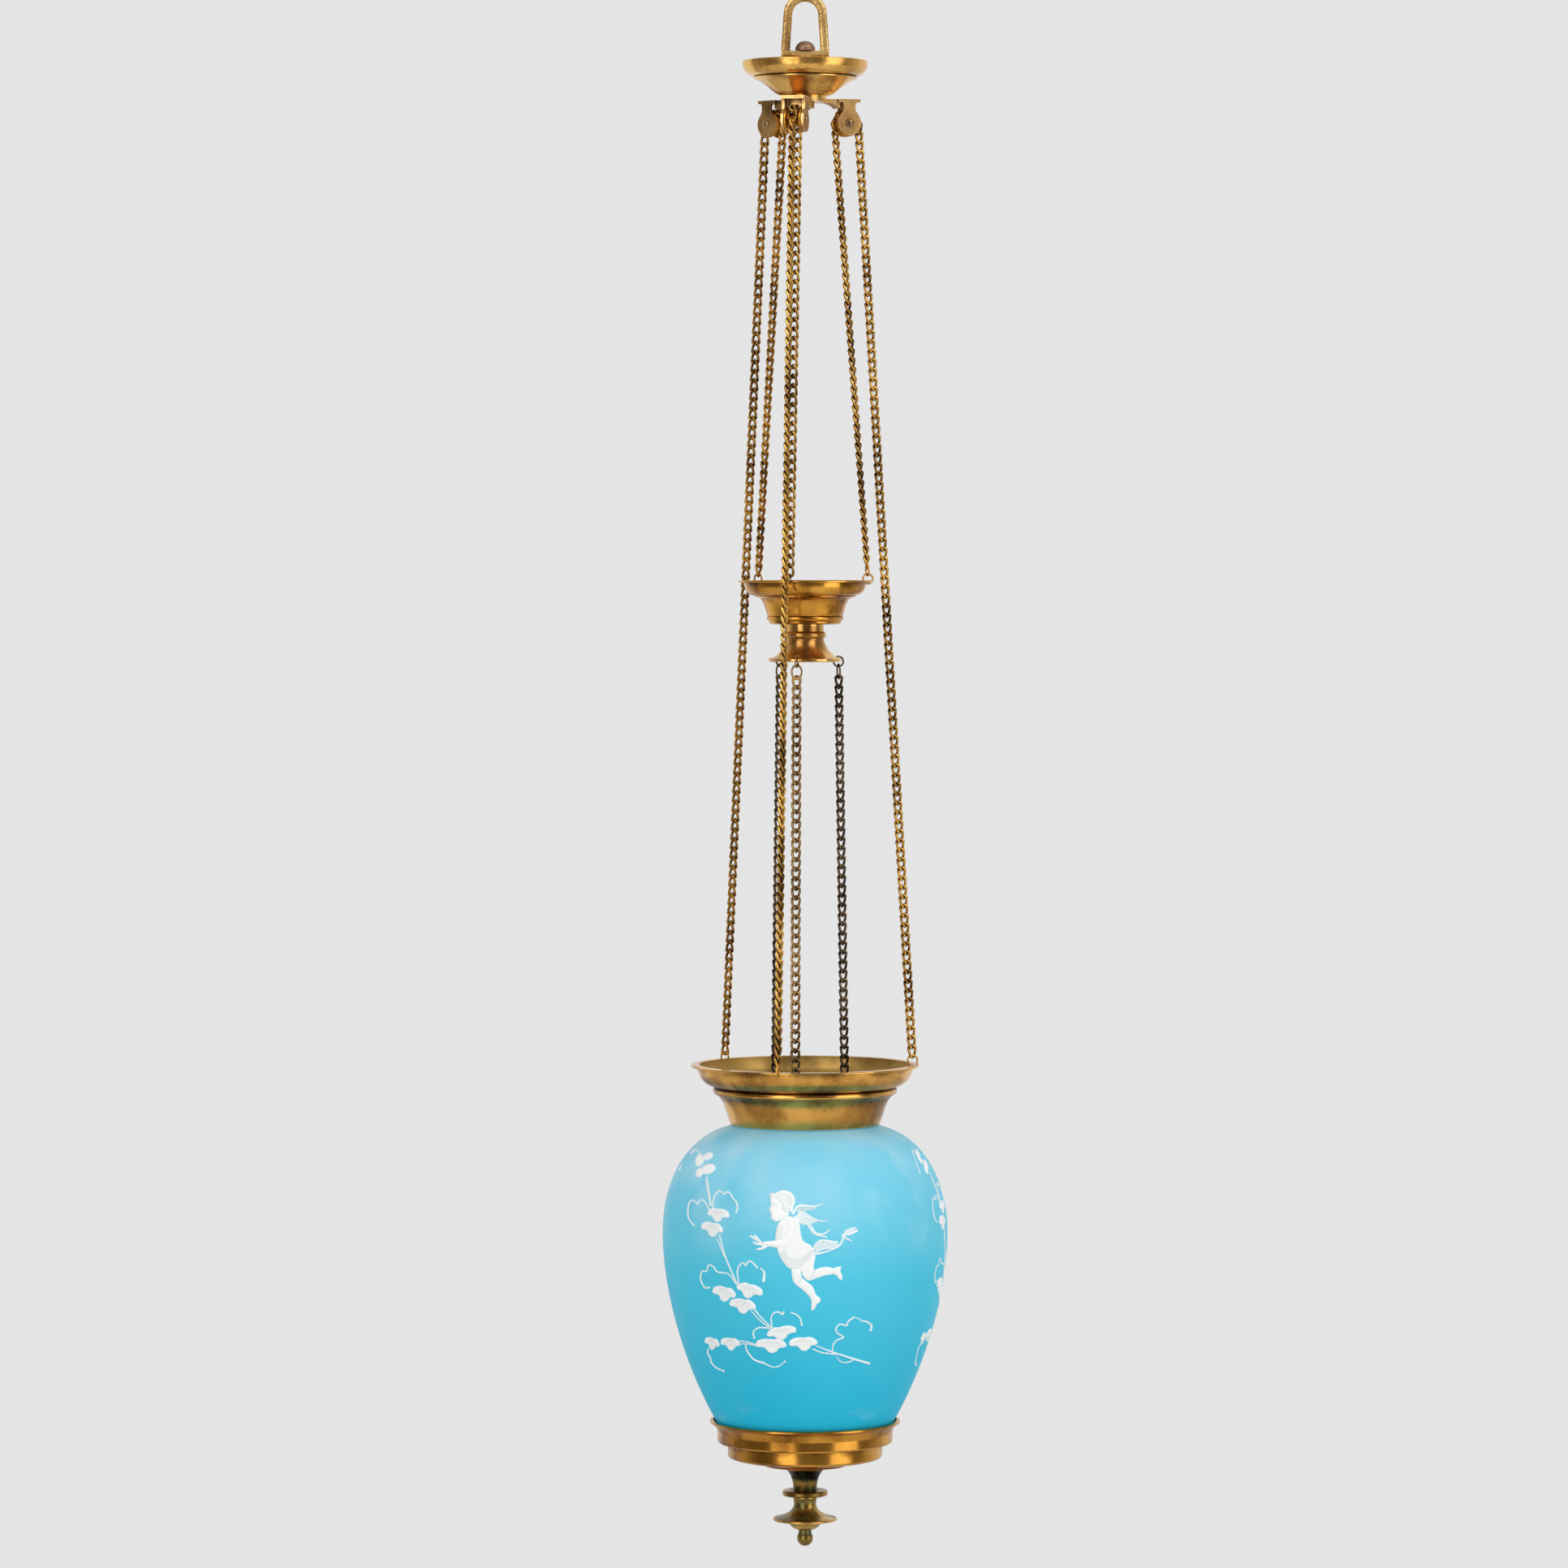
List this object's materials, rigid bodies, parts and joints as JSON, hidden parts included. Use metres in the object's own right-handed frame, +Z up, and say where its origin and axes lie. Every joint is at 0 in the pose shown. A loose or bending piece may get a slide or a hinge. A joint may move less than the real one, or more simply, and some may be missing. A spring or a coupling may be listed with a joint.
{
  "type": "sanctuary lamp",
  "caption": "Pull-down hanging lamp: brass canopy with pulleys, chains, a turned counterweight with a candle cup, and an opaline glass vase in brass mounts with a finial.",
  "frame": {"origin": "inner top of the hanging loop, where a hook carries it", "axes": "+Z up, along the lamp's axis; the loop's opening faces -Y, the side the picture shows"},
  "size_m": [0.169, 0.169, 0.9195],
  "materials": {
    "aged_brass": "aged, brown in the recesses",
    "chain_brass": "worn bright",
    "sooted_chain": "sooted",
    "copper_bolt": "oxidised",
    "copper_plate": "aged",
    "steel": "dull",
    "lead": "cast",
    "plaster": "matte",
    "opaline": "satin opaline"
  },
  "bodies": {
    "hanger": {"hanging_loop": "aged_brass", "loop_bolt": "copper_bolt", "spacer_sleeve": "aged_brass", "canopy": "aged_brass", "canopy_collar": "aged_brass", "bolt_nut": "aged_brass", "pulley_bracket": "aged_brass", "pin_right": "aged_brass", "pin_front": "aged_brass", "pin_left": "aged_brass", "chain_wrap_right": "chain_brass", "chain_wrap_front": "chain_brass", "chain_wrap_left": "chain_brass"},
    "lamp": {"crown_ring": "aged_brass", "crown_bed": "plaster", "glass_vase": "opaline", "base_bed": "plaster", "base_cup": "aged_brass", "rose_plate": "copper_plate", "finial_neck": "aged_brass", "finial_knob": "aged_brass", "finial_stud": "steel", "finial_nut": "steel", "lift_chain_right": "chain_brass", "lift_chain_front": "chain_brass", "lift_chain_left": "chain_brass"},
    "counterweight": {"counterweight_bowl": "aged_brass", "ballast": "lead", "ballast_cover": "aged_brass", "counterweight_foot": "aged_brass", "counterweight_stud": "aged_brass", "foot_nut": "steel", "weight_chain_right": "chain_brass", "weight_chain_front": "chain_brass", "weight_chain_left": "chain_brass", "candle_chain_right": "sooted_chain", "candle_chain_front": "sooted_chain", "candle_chain_left": "sooted_chain", "candle_dish": "aged_brass", "candle_socket": "aged_brass", "socket_screw": "steel"},
    "pulley_right": {"pulley_right": "aged_brass"},
    "pulley_front": {"pulley_front": "aged_brass"},
    "pulley_left": {"pulley_left": "aged_brass"}
  },
  "joints": [
    {"name": "lamp_lift", "type": "slide", "parent": "hanger", "child": "lamp", "axis": [0, 0, -1], "range_m": [0, 0.12], "deforming": ["lift_chain_right", "lift_chain_front", "lift_chain_left"]},
    {"name": "counterweight_rise", "type": "slide", "parent": "hanger", "child": "counterweight", "axis": [0, 0, 1], "range_m": [0, 0.121], "deforming": ["weight_chain_right", "weight_chain_front", "weight_chain_left"]},
    {"name": "pulley_right_spin", "type": "hinge", "parent": "hanger", "child": "pulley_right", "pos_m": [0.02442, 0.007, -0.0712], "axis": [-0.2756, 0.9613, 0], "range_deg": [0, 980]},
    {"name": "pulley_front_spin", "type": "hinge", "parent": "hanger", "child": "pulley_front", "pos_m": [-0.00614, -0.02465, -0.0712], "axis": [0.9703, -0.2419, 0], "range_deg": [0, 980]},
    {"name": "pulley_left_spin", "type": "hinge", "parent": "hanger", "child": "pulley_left", "pos_m": [-0.01827, 0.01764, -0.0712], "axis": [-0.6947, -0.7193, 0], "range_deg": [0, 980]}
  ],
  "couplings": [
    {"joint": "counterweight_rise", "follows": "lamp_lift", "ratio": 1},
    {"joint": "pulley_right_spin", "follows": "lamp_lift", "rad_per_m": 140.25},
    {"joint": "pulley_front_spin", "follows": "lamp_lift", "rad_per_m": 140.25},
    {"joint": "pulley_left_spin", "follows": "lamp_lift", "rad_per_m": 140.25}
  ]
}
